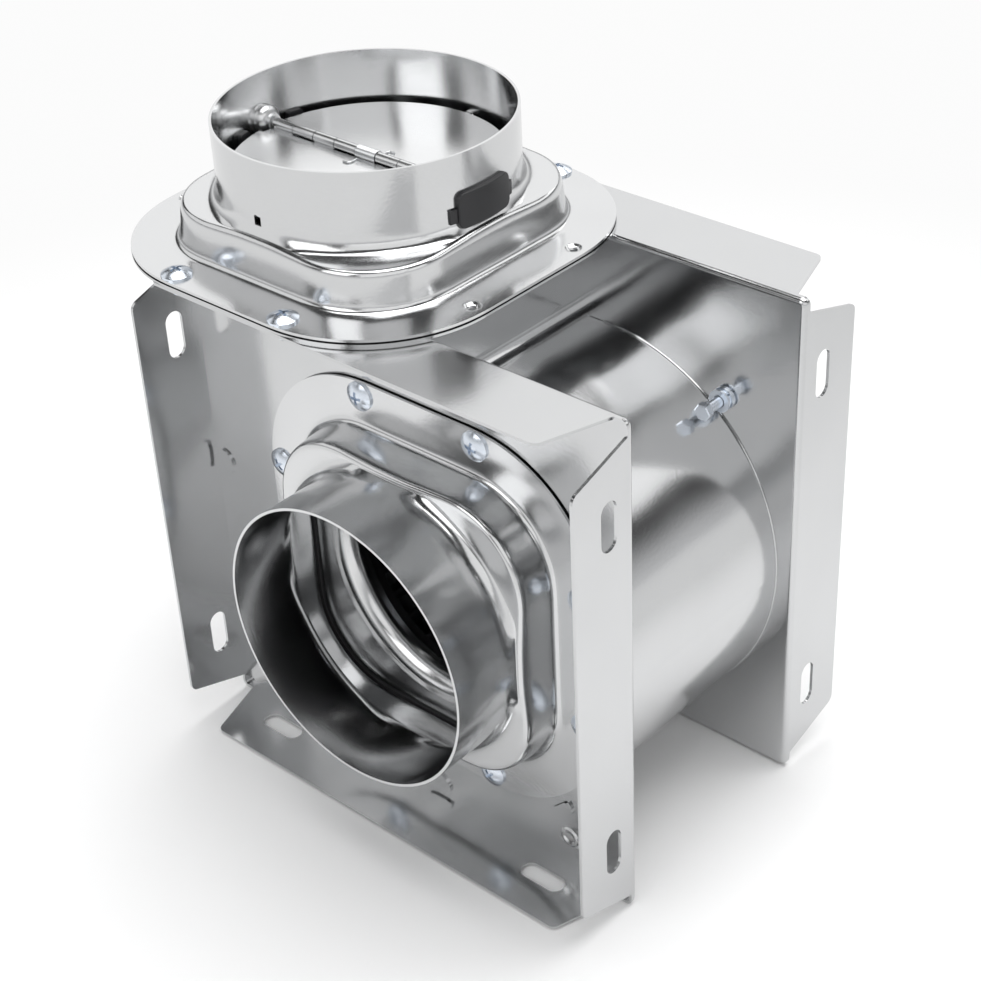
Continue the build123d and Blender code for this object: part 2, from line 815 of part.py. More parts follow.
def damper_cover(side):
    """Snap-in cap: a curved pad outside the tube, necks through the wall and hooks inside."""
    low = rod_height - cover_height
    high = rod_height + cover_height
    pad_ring = wall_shell(duct_radius, duct_radius + cover_thickness, low, high)
    tab_ring = wall_shell(duct_radius, duct_radius + cover_thickness / 2, low, high)
    neck_ring = wall_shell(duct_inner - hook_thickness, duct_radius + cover_thickness / 2, low, high)
    hook_ring = wall_shell(duct_inner - hook_thickness, duct_inner, low, high)
    outward = Plane(origin=rod_start.origin, x_dir=(0, side, 0), z_dir=(side, 0, 0))
    reach = duct_radius + cover_thickness + 1
    with BuildPart() as pad:
        with BuildSketch(outward):
            with Locations((0, -cover_drop)):
                RectangleRounded(cover_width, cover_height, cover_corner)
        extrude(amount=reach)
        add(pad_ring, mode=Mode.INTERSECT)
        lip = pad.faces().sort_by(Axis.X)[-1 if side > 0 else 0].edges()
        fillet(lip, cover_lip)
    with BuildPart() as tabs:
        with BuildSketch(outward):
            with Locations((0, -hook_drop)):
                Rectangle(2 * hook_span + hook_width, hook_neck_height)
        extrude(amount=reach)
        add(tab_ring, mode=Mode.INTERSECT)
    with BuildPart() as necks:
        with BuildSketch(outward):
            with Locations((-hook_span, -hook_drop), (hook_span, -hook_drop)):
                Rectangle(hook_neck_width, hook_neck_height)
        extrude(amount=reach)
        add(neck_ring, mode=Mode.INTERSECT)
    with BuildPart() as hooks:
        with BuildSketch(outward):
            with Locations((-hook_span, -hook_drop), (hook_span, -hook_drop)):
                RectangleRounded(hook_width, hook_height, hook_corner)
        extrude(amount=reach)
        add(hook_ring, mode=Mode.INTERSECT)
    with BuildPart() as cover:
        for piece in (pad, tabs, necks, hooks):
            add(piece.part)
        with BuildSketch(outward):
            Circle(rod_radius + 0.4)
        extrude(amount=rod_reach + 0.3, mode=Mode.SUBTRACT)
    return cover


damper_cover_left = damper_cover(-1)
damper_cover_right = damper_cover(1)

# Impeller: a cage of forward-curved blades behind a ring, on a hub disc whose cup leaves room
# for the motor
impeller_back = impeller_front + impeller_length
ring_mid = (impeller_inner_radius + impeller_radius) / 2
with BuildSketch() as blade_shape:
    with BuildLine():
        inner_end = (impeller_inner_radius + 0.3, 0)
        outer_end = (impeller_radius - 0.3, 1.6)
        outer_back = (outer_end[0] - 0.3, outer_end[1] + blade_wall)
        ThreePointArc(inner_end, (ring_mid, -blade_sag), outer_end)
        Line(outer_end, outer_back)
        ThreePointArc(outer_back, (ring_mid, blade_wall - blade_sag), (inner_end[0], blade_wall))
        Line((inner_end[0], blade_wall), inner_end)
    make_face()

with BuildPart() as impeller:
    with BuildSketch(inlet_axis(impeller_front)):
        Circle(impeller_radius)
        Circle(impeller_inner_radius, mode=Mode.SUBTRACT)
    extrude(amount=impeller_ring)
    with BuildSketch(inlet_axis(impeller_front)):
        for number in range(blade_count):
            add(blade_shape.sketch, rotation=360 / blade_count * number)
    extrude(amount=impeller_length - impeller_wall)

with BuildPart() as impeller_hub:
    with BuildSketch(inlet_axis(impeller_back - impeller_wall)):
        Circle(impeller_radius)
        Circle(cup_radius - impeller_wall, mode=Mode.SUBTRACT)
    extrude(amount=impeller_wall)
    with BuildSketch(inlet_axis(cup_face)):
        Circle(cup_radius)
        Circle(cup_radius - impeller_wall, mode=Mode.SUBTRACT)
    extrude(amount=impeller_back - cup_face)
    with BuildSketch(inlet_axis(cup_face)):
        Circle(cup_radius)
    extrude(amount=impeller_wall)
    with BuildSketch(inlet_axis(hub_front)):
        Circle(hub_radius)
    extrude(amount=hub_back - hub_front)
    with BuildSketch(inlet_axis(hub_front)):
        Circle(shaft_radius + 2 * shaft_play + bush_wall)
    extrude(amount=hub_back - hub_front, mode=Mode.SUBTRACT)

with BuildPart() as impeller_bush:
    with BuildSketch(inlet_axis(hub_front)):
        Circle(shaft_radius + shaft_play + bush_wall)
        Circle(shaft_radius + shaft_play, mode=Mode.SUBTRACT)
    extrude(amount=hub_back - hub_front)

with BuildPart() as impeller_nut:
    with BuildSketch(inlet_axis(hub_front)):
        RegularPolygon(hub_nut_flats / 2, 6, major_radius=False)
        Circle(shaft_radius + shaft_play, mode=Mode.SUBTRACT)
    extrude(amount=-hub_nut_height)

with BuildPart() as motor_shaft:
    with BuildSketch(inlet_axis(shaft_front)):
        Circle(shaft_radius)
    extrude(amount=shaft_back - shaft_front)
    chamfer(motor_shaft.edges().filter_by(GeomType.CIRCLE), 0.5)

with BuildPart() as rotor_core:
    with BuildSketch(inlet_axis(stack_front)):
        Circle(stator_bore - rotor_gap)
        Circle(shaft_radius + shaft_play, mode=Mode.SUBTRACT)
    extrude(amount=stack_back - stack_front)


# Motor cans, each a drawn cup with a bearing boss in its end
def motor_cap(start, end, bearing_at):
    """Cup from its closed end at start to its open end at end, with a bored bearing boss."""
    turn = 1 if end > start else -1
    with BuildPart() as cap:
        with BuildSketch(inlet_axis(start)):
            Circle(motor_radius)
        extrude(amount=end - start)
        ends = cap.edges().filter_by(GeomType.CIRCLE).sort_by(Axis.Y)
        fillet(ends[0 if turn > 0 else -1], motor_edge_round)
        open_end = cap.faces().sort_by(Axis.Y)[-1 if turn > 0 else 0]
        offset(amount=-motor_wall, openings=open_end)
        with BuildSketch(inlet_axis(start)):
            Circle(bearing_radius + boss_wall)
        extrude(amount=turn * (bearing_inset + bearing_length))
        with BuildSketch(inlet_axis(start + turn * bearing_inset)):
            Circle(bearing_radius)
        extrude(amount=turn * bearing_length, mode=Mode.SUBTRACT)
        if bearing_at:
            with BuildSketch(inlet_axis(start)):
                Circle(shaft_radius + 1)
            extrude(amount=turn * bearing_inset, mode=Mode.SUBTRACT)
    return cap.part


# The motor lead leaves the rear can through a grommet, square to its wall
lead_hole = lead_radius + lead_play + grommet_neck
lead_run = Vector(cos(radians(lead_angle)), 0, sin(radians(lead_angle)))
lead_exit = Plane(
    origin=Vector(*at(inlet_offset_x, lead_level, inlet_offset_z)) + lead_run * motor_radius,
    x_dir=(0, 1, 0),
    z_dir=lead_run,
)
ear_front = back_level + sheet + motor_plate_sheet + rubber_flange
front_can = motor_cap(motor_front, motor_joint, True)
rear_can = motor_cap(motor_back, motor_joint, False)
with BuildPart() as motor_front_cap:
    add(front_can)
with BuildPart() as motor_rear_cap:
    add(rear_can)
    with BuildSketch(inlet_axis(ear_front)):
        with PolarLocations(mount_radius, mount_count, start_angle=mount_start):
            Circle(ear_width / 2)
        with PolarLocations((mount_radius + motor_radius) / 2, mount_count, start_angle=mount_start):
            Rectangle(mount_radius - motor_radius + 2 * motor_wall, ear_width)
        Circle(motor_radius - motor_wall / 2, mode=Mode.SUBTRACT)
        with PolarLocations(mount_radius, mount_count, start_angle=mount_start):
            Circle(rubber_neck_radius + rubber_wall_gap, mode=Mode.SUBTRACT)
    extrude(amount=ear_sheet)
    with BuildSketch(lead_exit):
        Circle(lead_hole)
    extrude(amount=motor_wall + 1, both=True, mode=Mode.SUBTRACT)


def sleeve_bearing(start):
    with BuildPart() as bearing:
        with BuildSketch(inlet_axis(start)):
            Circle(bearing_radius - shaft_play)
            Circle(shaft_radius + shaft_play, mode=Mode.SUBTRACT)
        extrude(amount=bearing_length)
    return bearing


front_bearing = sleeve_bearing(motor_front + bearing_inset)
rear_bearing = sleeve_bearing(motor_back - bearing_inset - bearing_length)

slot_mid = (stator_slot_inner + stator_slot_outer) / 2
slot_depth = stator_slot_outer - stator_slot_inner
with BuildPart() as stator_core:
    with BuildSketch(inlet_axis(stack_front)):
        Circle(motor_radius - motor_wall - shaft_play)
        Circle(stator_bore, mode=Mode.SUBTRACT)
        with PolarLocations(slot_mid, stator_slots):
            Rectangle(slot_depth, stator_slot_width, mode=Mode.SUBTRACT)
    extrude(amount=stack_back - stack_front)

with BuildPart() as stator_winding:
    with BuildSketch(inlet_axis(stack_front - winding_head)):
        Circle(stator_slot_outer - winding_play)
        Circle(stator_slot_inner + winding_play, mode=Mode.SUBTRACT)
    extrude(amount=winding_head - winding_play)
    with BuildSketch(inlet_axis(stack_back + winding_play)):
        Circle(stator_slot_outer - winding_play)
        Circle(stator_slot_inner + winding_play, mode=Mode.SUBTRACT)
    extrude(amount=winding_head - winding_play)
    with BuildSketch(inlet_axis(stack_front - winding_play)):
        with PolarLocations(slot_mid, stator_slots):
            Rectangle(slot_depth - 4 * winding_play, stator_slot_width - 2 * winding_play)
    extrude(amount=stack_back - stack_front + 2 * winding_play)

# Motor plate over the service hole, with rubber mounts for the motor's ears
with BuildPart() as motor_plate:
    with BuildSketch(inlet_axis(back_level + sheet)):
        Circle(motor_plate_radius)
        Circle(motor_radius + motor_hole_gap, mode=Mode.SUBTRACT)
        with PolarLocations(plate_screw_radius, plate_screw_count, start_angle=plate_screw_start):
            Circle(screw_hole_radius, mode=Mode.SUBTRACT)
        with PolarLocations(mount_radius, mount_count, start_angle=mount_start):
            Circle(screw_hole_radius, mode=Mode.SUBTRACT)
    extrude(amount=motor_plate_sheet)

with BuildPart() as motor_mounts:
    for turn in range(mount_count):
        angle = radians(mount_start + 360 / mount_count * turn)
        spot = (mount_radius * cos(angle), mount_radius * sin(angle))
        for start, radius, length in (
            (ear_front - rubber_flange, rubber_radius, rubber_flange),
            (ear_front, rubber_neck_radius, ear_sheet),
            (ear_front + ear_sheet, rubber_radius, rubber_flange),
        ):
            with BuildSketch(inlet_axis(start)):
                with Locations(spot):
                    Circle(radius)
                    Circle(screw_hole_radius, mode=Mode.SUBTRACT)
            extrude(amount=length)


def circle_spots(radius, count, start):
    return [
        (radius * cos(radians(start + 360 / count * n)), radius * sin(radians(start + 360 / count * n)))
        for n in range(count)
    ]


mount_stack = sheet + motor_plate_sheet + 2 * rubber_flange + ear_sheet
motor_mount_screws = screw_group(
    inlet_axis(back_level + mount_stack),
    circle_spots(mount_radius, mount_count, mount_start),
    truss_screw(screw_radius, mount_stack + screw_tail / 2, head_radius, head_height),
)
motor_plate_screws = screw_group(
    inlet_axis(back_level + sheet + motor_plate_sheet),
    circle_spots(plate_screw_radius, plate_screw_count, plate_screw_start),
    truss_screw(screw_radius, sheet + motor_plate_sheet + screw_tail, head_radius, head_height),
)

# Terminal box in the back pocket
box_back = back_level + sheet + box_depth
with BuildPart() as terminal_box:
    with BuildSketch(box_origin):
        RectangleRounded(box_width, box_height, box_corner)
    extrude(amount=box_depth)
    with BuildSketch(box_origin.offset(box_wall)):
        RectangleRounded(box_width - 2 * box_wall, box_height - 2 * box_wall, box_corner - box_wall)
    extrude(amount=box_depth, mode=Mode.SUBTRACT)
    with BuildSketch(box_origin.offset(box_wall)):
        corner_x = box_width / 2 - box_screw_inset + box_post_reach
        corner_z = box_height / 2 - box_screw_inset + box_post_reach
        with Locations((corner_x, corner_z), (-corner_x, -corner_z)):
            Rectangle(box_post_side, box_post_side)
    extrude(amount=box_depth - box_wall)
    with BuildSketch(box_origin.offset(box_depth)):
        with Locations((corner_x, corner_z), (-corner_x, -corner_z)):
            Circle(lid_pilot_radius)
    extrude(amount=-lid_screw_length, mode=Mode.SUBTRACT)
    with BuildSketch(box_origin):
        with Locations(*box_fixings):
            Circle(screw_hole_radius)
    extrude(amount=box_wall, mode=Mode.SUBTRACT)
    gland_level = (back_level + sheet + box_back) / 2
    with BuildSketch(facing_up(gland_x, gland_level, box_z - box_height / 2)):
        Circle(gland_bore + gland_neck_wall + gland_neck_play)
    extrude(amount=box_wall, mode=Mode.SUBTRACT)
    with BuildSketch(facing_right(box_x + box_width / 2, lead_level, box_z)):
        Circle(lead_hole)
    extrude(amount=-box_wall, mode=Mode.SUBTRACT)
    with BuildSketch(facing_up(box_lead_x, gland_level, box_z - box_height / 2)):
        Circle(lead_hole)
    extrude(amount=box_wall, mode=Mode.SUBTRACT)

with BuildPart() as terminal_box_lid:
    with BuildSketch(box_origin.offset(box_depth)):
        RectangleRounded(box_width, box_height, box_corner)
        with Locations((corner_x, corner_z), (-corner_x, -corner_z)):
            Circle(lid_hole_radius, mode=Mode.SUBTRACT)
    extrude(amount=box_lid)
    fillet(terminal_box_lid.faces().sort_by(Axis.Y)[-1].outer_wire().edges(), box_lid_round)

lid_screws = screw_group(
    box_origin.offset(box_depth + box_lid),
    [(corner_x, corner_z), (-corner_x, -corner_z)],
    truss_screw(lid_screw_radius, lid_screw_length, lid_screw_head, lid_screw_height),
)
box_screws = screw_group(
    box_origin.offset(box_wall),
    box_fixings,
    truss_screw(screw_radius, box_wall + sheet + screw_tail, box_head_radius, box_head_height),
)

with BuildPart() as terminal_block:
    with BuildSketch(box_origin.offset(box_wall)):
        with Locations((0, box_height / 4)):
            Rectangle(block_width, block_height)
    extrude(amount=block_depth)
    top_face = terminal_block.faces().sort_by(Axis.Y)[-1]
    with BuildSketch(Plane(origin=top_face.center(), x_dir=(-1, 0, 0), z_dir=(0, 1, 0))):
        with GridLocations(block_width / 3, block_height / 2, 3, 2):
            Circle(block_hole_radius)
    extrude(amount=-block_hole_depth, mode=Mode.SUBTRACT)

with BuildPart() as cable_gland:
    gland_top = box_z - box_height / 2
    with BuildSketch(facing_up(gland_x, gland_level, gland_top)):
        Circle(gland_bore + gland_neck_wall)
    extrude(amount=box_wall + gland_neck_grip)
    with BuildSketch(facing_up(gland_x, gland_level, gland_top)):
        RegularPolygon(gland_radius, 6)
    extrude(amount=-gland_flange)
    with BuildSketch(facing_up(gland_x, gland_level, gland_top - gland_flange)):
        Circle(gland_radius - gland_nose_inset)
    extrude(amount=-(gland_length - gland_flange))
    fillet(cable_gland.edges().filter_by(GeomType.CIRCLE).sort_by(Axis.Z)[0], gland_nose_round)
    with BuildSketch(facing_up(gland_x, gland_level, gland_top - gland_length)):
        Circle(gland_bore)
    extrude(amount=gland_length + box_wall + gland_neck_grip, mode=Mode.SUBTRACT)

# Capacitor under its bracket
with BuildPart() as capacitor:
    with BuildSketch(capacitor_origin):
        RectangleRounded(capacitor_width, capacitor_height, capacitor_corner)
    extrude(amount=capacitor_depth)
    fillet(capacitor.faces().sort_by(Axis.Y)[-1].edges(), capacitor_round)
    with BuildSketch(facing_up(capacitor_lead_x, gland_level, capacitor_z + capacitor_height / 2)):
        Circle(lead_radius + lead_play)
    extrude(amount=-lead_insert, mode=Mode.SUBTRACT)

with BuildPart() as capacitor_bracket:
    strap_width = capacitor_width + 2 * (bracket_play + bracket_sheet)
    strap_depth = capacitor_depth + bracket_play + bracket_sheet
    strap_base = facing_up(capacitor_x, back_level + sheet, capacitor_z - bracket_width / 2)
    with BuildSketch(strap_base):
        with Locations((0, strap_depth / 2)):
            Rectangle(strap_width, strap_depth)
        with Locations((0, (strap_depth - bracket_sheet) / 2)):
            Rectangle(strap_width - 2 * bracket_sheet, strap_depth - bracket_sheet, mode=Mode.SUBTRACT)
        with Locations((strap_width / 2 + bracket_ear / 2, bracket_sheet / 2)):
            Rectangle(bracket_ear, bracket_sheet)
    extrude(amount=bracket_width)
    with BuildSketch(capacitor_origin):
        with Locations((-bracket_screw_x, 0)):
            Circle(screw_hole_radius)
    extrude(amount=bracket_sheet, mode=Mode.SUBTRACT)

capacitor_screw = screw_group(
    capacitor_origin.offset(bracket_sheet),
    [(-bracket_screw_x, 0)],
    truss_screw(screw_radius, bracket_sheet + sheet + screw_tail, bracket_head_radius, box_head_height),
)


# Leads held inside the back pocket
def lead(points, heading, bends):
    with BuildPart() as cable:
        with BuildLine():
            FilletPolyline(*points, radius=bends)
        with BuildSketch(Plane(origin=points[0], z_dir=heading)):
            Circle(lead_radius)
        sweep()
    return cable


box_right = box_x + box_width / 2
box_floor = box_z - box_height / 2
motor_axis = Vector(*at(inlet_offset_x, lead_level, inlet_offset_z))
lead_corner = motor_axis + lead_run * ((box_z - inlet_offset_z) / lead_run.Z)
motor_lead = lead(
    [
        motor_axis + lead_run * (motor_radius - motor_wall - 1),
        lead_corner,
        Vector(*at(box_right - box_wall - lead_insert, lead_level, box_z)),
    ],
    lead_run,
    motor_lead_bend,
)
capacitor_top = capacitor_z + capacitor_height / 2
capacitor_lead = lead(
    [
        Vector(*at(capacitor_lead_x, gland_level, capacitor_top - lead_insert)),
        Vector(*at(capacitor_lead_x, gland_level, capacitor_top + lead_rise)),
        Vector(*at(box_lead_x, gland_level, box_floor - lead_rise)),
        Vector(*at(box_lead_x, gland_level, box_floor + box_wall + lead_insert)),
    ],
    Vector(0, 0, 1),
    lead_bend,
)

# Grommets where the leads pass a wall: a flange on the outside and a neck in the hole
with BuildPart() as lead_grommets:
    holes = (
        (lead_exit, motor_wall),
        (facing_right(box_right, lead_level, box_z), box_wall),
        (facing_down(box_lead_x, gland_level, box_floor), box_wall),
    )
    for hole, wall in holes:
        with BuildSketch(hole.offset(grommet_seat)):
            Circle(lead_hole + grommet_flange)
            Circle(lead_radius + lead_play, mode=Mode.SUBTRACT)
        extrude(amount=grommet_lip)
        with BuildSketch(hole.offset(grommet_seat)):
            Circle(lead_hole - lead_play)
            Circle(lead_radius + lead_play, mode=Mode.SUBTRACT)
        extrude(amount=-wall - grommet_seat)

# Earth bolt through the back panel, its head towards the front
with BuildPart() as earth_bolt:
    with BuildSketch(facing_front(earth_x, back_level + sheet + earth_nut_height + 1, earth_z)):
        Circle(earth_radius)
    extrude(amount=sheet + earth_nut_height + 1 + earth_length)
    with BuildSketch(facing_front(earth_x, back_level - earth_length, earth_z)):
        RegularPolygon(earth_head_flats / 2, 6, major_radius=False)
    extrude(amount=earth_head_height)
    chamfer(earth_bolt.faces().sort_by(Axis.Y)[0].edges(), 0.4)


def washer(y, radius, thickness, split):
    with BuildPart() as ring:
        with BuildSketch(facing_front(earth_x, y, earth_z)):
            Circle(radius)
            Circle(earth_hole_radius, mode=Mode.SUBTRACT)
            if split:
                with Locations((radius / 2, radius / 2)):
                    Rectangle(0.6, 2 * radius, rotation=-45, mode=Mode.SUBTRACT)
        extrude(amount=thickness)
    return ring.part


washer_below = washer(back_level, earth_washer_radius, earth_washer_sheet, False)
spring_seat = back_level - earth_washer_sheet
split_washer = washer(spring_seat, earth_spring_radius, earth_spring_sheet, True)
washer_above = washer(spring_seat - earth_spring_sheet, earth_washer_radius, earth_washer_sheet, False)
with BuildPart() as earth_washers:
    add(washer_below)
    add(washer_above)
with BuildPart() as earth_spring_washer:
    add(split_washer)
with BuildPart() as earth_nut:
    with BuildSketch(facing_back(earth_x, back_level + sheet, earth_z)):
        RegularPolygon(earth_nut_flats / 2, 6, major_radius=False)
        Circle(earth_radius + nut_play, mode=Mode.SUBTRACT)
    extrude(amount=earth_nut_height)

# Files
save(front_plate, "front_plate")
save(back_plate, "back_plate")
save(scroll_wrap, "scroll_wrap")
save(outlet_plate, "outlet_plate")
save(inlet_ring, "inlet_ring")
save(inlet_gasket, "inlet_gasket")
save(outlet_gasket, "outlet_gasket")
save(inlet_collar, "inlet_collar")
save(outlet_collar, "outlet_collar")
save(inlet_screws, "inlet_screws")
save(outlet_screws, "outlet_screws")
save(damper_rod, "damper_rod")
save(damper_bush_left, "damper_bush_left")
save(damper_bush_right, "damper_bush_right")
save(damper_flap_front, "damper_flap_front")
save(damper_flap_back, "damper_flap_back")
save(damper_spring, "damper_spring")
save(spring_leg_front, "spring_leg_front")
save(spring_leg_back, "spring_leg_back")
save(damper_cover_left, "damper_cover_left")
save(damper_cover_right, "damper_cover_right")
save(impeller, "impeller")
save(impeller_hub, "impeller_hub")
save(impeller_bush, "impeller_bush")
save(impeller_nut, "impeller_nut")
save(motor_shaft, "motor_shaft")
save(rotor_core, "rotor_core")
save(motor_front_cap, "motor_front_cap")
save(motor_rear_cap, "motor_rear_cap")
save(stator_core, "stator_core")
save(stator_winding, "stator_winding")
save(front_bearing, "front_bearing")
save(rear_bearing, "rear_bearing")
save(motor_plate, "motor_plate")
save(motor_plate_screws, "motor_plate_screws")
save(motor_mounts, "motor_mounts")
save(motor_mount_screws, "motor_mount_screws")
save(terminal_box, "terminal_box")
save(terminal_box_lid, "terminal_box_lid")
save(lid_screws, "lid_screws")
save(box_screws, "box_screws")
save(terminal_block, "terminal_block")
save(cable_gland, "cable_gland")
save(capacitor, "capacitor")
save(capacitor_bracket, "capacitor_bracket")
save(capacitor_screw, "capacitor_screw")
save(motor_lead, "motor_lead")
save(capacitor_lead, "capacitor_lead")
save(lead_grommets, "lead_grommets")
save(earth_bolt, "earth_bolt")
save(earth_spring_washer, "earth_spring_washer")
save(earth_washers, "earth_washers")
save(earth_nut, "earth_nut")
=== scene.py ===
import bmesh
import bpy
import json
from math import atan2, cos, degrees, radians, sin
from mathutils import Matrix, Vector


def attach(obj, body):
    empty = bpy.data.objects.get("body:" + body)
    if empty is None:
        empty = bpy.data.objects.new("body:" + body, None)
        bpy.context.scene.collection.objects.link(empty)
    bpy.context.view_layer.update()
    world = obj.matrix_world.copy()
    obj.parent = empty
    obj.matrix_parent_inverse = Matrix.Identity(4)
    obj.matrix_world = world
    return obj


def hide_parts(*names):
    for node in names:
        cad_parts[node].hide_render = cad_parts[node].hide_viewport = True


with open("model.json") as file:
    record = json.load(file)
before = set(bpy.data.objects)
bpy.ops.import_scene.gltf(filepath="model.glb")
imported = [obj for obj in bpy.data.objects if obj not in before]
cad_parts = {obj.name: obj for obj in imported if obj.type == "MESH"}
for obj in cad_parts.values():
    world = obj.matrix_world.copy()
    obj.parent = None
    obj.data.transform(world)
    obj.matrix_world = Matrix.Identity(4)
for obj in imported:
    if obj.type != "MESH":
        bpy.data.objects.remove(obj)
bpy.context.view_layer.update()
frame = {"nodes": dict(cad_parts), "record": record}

# A duct fan in the CAD frame: finishes for its nodes, two drawn collars in place of theirs, the bead on
# the scroll's seam, a pressed dimple, and a pale studio round it. The lengths that shape the collars,
# the bead and the dimple are in millimetres, and MM turns them into metres. All others are in metres.
MM = 0.001
QUARTER_TURN = radians(90)
SMOOTH_BELOW = radians(35)


# Node helpers
def feed(tree, socket, source):
    """Links another node's output to the socket, or sets the socket to a value."""
    if isinstance(source, bpy.types.NodeSocket):
        tree.links.new(source, socket)
    else:
        socket.default_value = source


def fed_node(tree, kind, **sources):
    """A new node with its sockets fed by name, where an underscore stands for a space."""
    node = tree.nodes.new(kind)
    for label, source in sources.items():
        feed(tree, node.inputs[label.replace("_", " ")], source)
    return node


def math_node(tree, operation, *sources):
    """The output of a Math node on values or other nodes' outputs."""
    node = tree.nodes.new("ShaderNodeMath")
    node.operation = operation
    for socket, source in zip(node.inputs, sources):
        feed(tree, socket, source)
    return node.outputs[0]


def smooth_step(tree, source, start, end, low=0.0, high=1.0):
    """Goes smoothly from low to high as the source goes from start to end."""
    node = fed_node(
        tree, "ShaderNodeMapRange", Value=source, From_Min=start, From_Max=end, To_Min=low, To_Max=high
    )
    node.interpolation_type = "SMOOTHSTEP"
    return node.outputs["Result"]


def any_ray(tree, *kinds):
    """1 for a ray of one of the kinds that Light Path names, and 0 for others."""
    rays = tree.nodes.new("ShaderNodeLightPath")
    found = rays.outputs[kinds[0]]
    for kind in kinds[1:]:
        found = math_node(tree, "MAXIMUM", found, rays.outputs[kind])
    return found


# Finishes
MOTTLE = 0.05
FLECK = 0.03
WAVINESS = 0.0015
WAVE_SCALE = 18.0
FLECK_RELIEF = 0.007
ROUGHNESS_PER_MOTTLE = 1.2


def sheet_group():
    """Sheet finish: soft mottling of shade and gloss, fine flecks and a slight waviness of the surface."""
    group = bpy.data.node_groups.new("sheet_finish", "ShaderNodeTree")
    defaults = {"Mottle Scale": 60.0, "Mottle": MOTTLE, "Fleck Scale": 900.0, "Fleck": FLECK, "Gloss": 0.25}
    for label, default in defaults.items():
        socket = group.interface.new_socket(label, in_out="INPUT", socket_type="NodeSocketFloat")
        socket.default_value = default
    for label in ("Shade", "Roughness", "Height"):
        group.interface.new_socket(label, in_out="OUTPUT", socket_type="NodeSocketFloat")
    given = group.nodes.new("NodeGroupInput").outputs
    result = group.nodes.new("NodeGroupOutput").inputs
    place = group.nodes.new("ShaderNodeTexCoord").outputs["Object"]

    def noise(scale, detail):
        return fed_node(group, "ShaderNodeTexNoise", Vector=place, Scale=scale, Detail=detail).outputs["Fac"]

    def swing(texture, amount):
        """The noise's way up or down from its middle, 0.5, times the amount."""
        return math_node(group, "MULTIPLY", math_node(group, "SUBTRACT", texture, 0.5), amount)

    mottle = swing(noise(given["Mottle Scale"], detail=3.0), given["Mottle"])
    fleck = noise(given["Fleck Scale"], detail=2.0)
    wave = noise(WAVE_SCALE, detail=1.0)
    both = math_node(group, "ADD", mottle, swing(fleck, given["Fleck"]))
    roughness = math_node(group, "MULTIPLY_ADD", mottle, ROUGHNESS_PER_MOTTLE, given["Gloss"])
    feed(group, result["Shade"], math_node(group, "ADD", both, 1.0))
    feed(group, result["Roughness"], roughness)
    feed(group, result["Height"], math_node(group, "MULTIPLY_ADD", fleck, FLECK_RELIEF, wave))
    return group


SHEET_FINISH = sheet_group()


def sheet_material(name, colour, gloss, mottle=MOTTLE, waviness=WAVINESS, metallic=1.0):
    """Metal, paint or plastic whose colour, roughness and bump come from the sheet finish group."""
    material = bpy.data.materials.new(name)
    material.use_nodes = True
    tree = material.node_tree
    finish = tree.nodes.new("ShaderNodeGroup")
    finish.node_tree = SHEET_FINISH
    for label, value in (("Mottle", mottle), ("Fleck", FLECK), ("Gloss", gloss)):
        finish.inputs[label].default_value = value
    tint = tree.nodes.new("ShaderNodeVectorMath")
    tint.operation = "SCALE"
    tint.inputs[0].default_value = colour
    feed(tree, tint.inputs["Scale"], finish.outputs["Shade"])
    bump = fed_node(tree, "ShaderNodeBump", Strength=1.0, Distance=waviness, Height=finish.outputs["Height"])
    shader = tree.nodes["Principled BSDF"].inputs
    shader["Metallic"].default_value = metallic
    feed(tree, shader["Base Color"], tint.outputs[0])
    feed(tree, shader["Roughness"], finish.outputs["Roughness"])
    feed(tree, shader["Normal"], bump.outputs["Normal"])
    return material


# Finishes by the record's slots
finishes = {
    # The plates' galvanised sheet is darker than the collars' steel: painted shade, standing in for the deep
    # darks of the scroll and the plates
    "sheet_steel": sheet_material("galvanised_sheet_painted_shade", (0.585, 0.59, 0.595), 0.16),
    "collar_steel": sheet_material("collar_sheet", (0.65, 0.655, 0.66), 0.17, waviness=0.0022),
    "spun_steel": sheet_material("spun_bellmouth", (0.66, 0.665, 0.67), 0.2),
    "zinc_plate": sheet_material("blue_zinc", (0.74, 0.79, 0.86), 0.26, mottle=0.1),
    "damper_aluminium": sheet_material("flap_sheet", (0.76, 0.765, 0.77), 0.24),
    "spring_steel": sheet_material("drawn_wire", (0.72, 0.73, 0.74), 0.2),
    "bush_plastic": sheet_material("boss_metal", (0.76, 0.765, 0.77), 0.3),
    "clip_plastic": sheet_material("clip_black", (0.016, 0.016, 0.018), 0.38, metallic=0.0),
    "impeller_plastic": sheet_material("impeller_black", (0.012, 0.012, 0.013), 0.25, metallic=0.0),
    "motor_steel": sheet_material("motor_enamel", (0.02, 0.02, 0.022), 0.35, metallic=0.0),
    "shaft_steel": sheet_material("ground_shaft", (0.76, 0.76, 0.77), 0.22),
    "laminations": sheet_material("lamination_steel", (0.25, 0.25, 0.27), 0.45),
    "copper": sheet_material("winding_copper", (0.72, 0.33, 0.15), 0.35),
    "bronze": sheet_material("sintered_bronze", (0.55, 0.38, 0.2), 0.45),
    "black_rubber": sheet_material("mount_rubber", (0.015, 0.015, 0.016), 0.7, metallic=0.0),
    # Black foam gaskets under the collar bases: foam, and their dark colour is also painted shade for the gap
    # they fill
    "foam": sheet_material("gasket_foam_and_gap_shade", (0.03, 0.03, 0.032), 0.9, metallic=0.0),
    "box_plastic": sheet_material("box_grey", (0.62, 0.62, 0.60), 0.45, metallic=0.0),
    "black_plastic": sheet_material("moulded_black", (0.018, 0.018, 0.02), 0.45, metallic=0.0),
    "cable_sheath": sheet_material("sheath_grey", (0.55, 0.55, 0.54), 0.5, metallic=0.0),
}
slot_of = {entry["node"]: entry["material_slot"] for entry in frame["record"]["subparts"]}
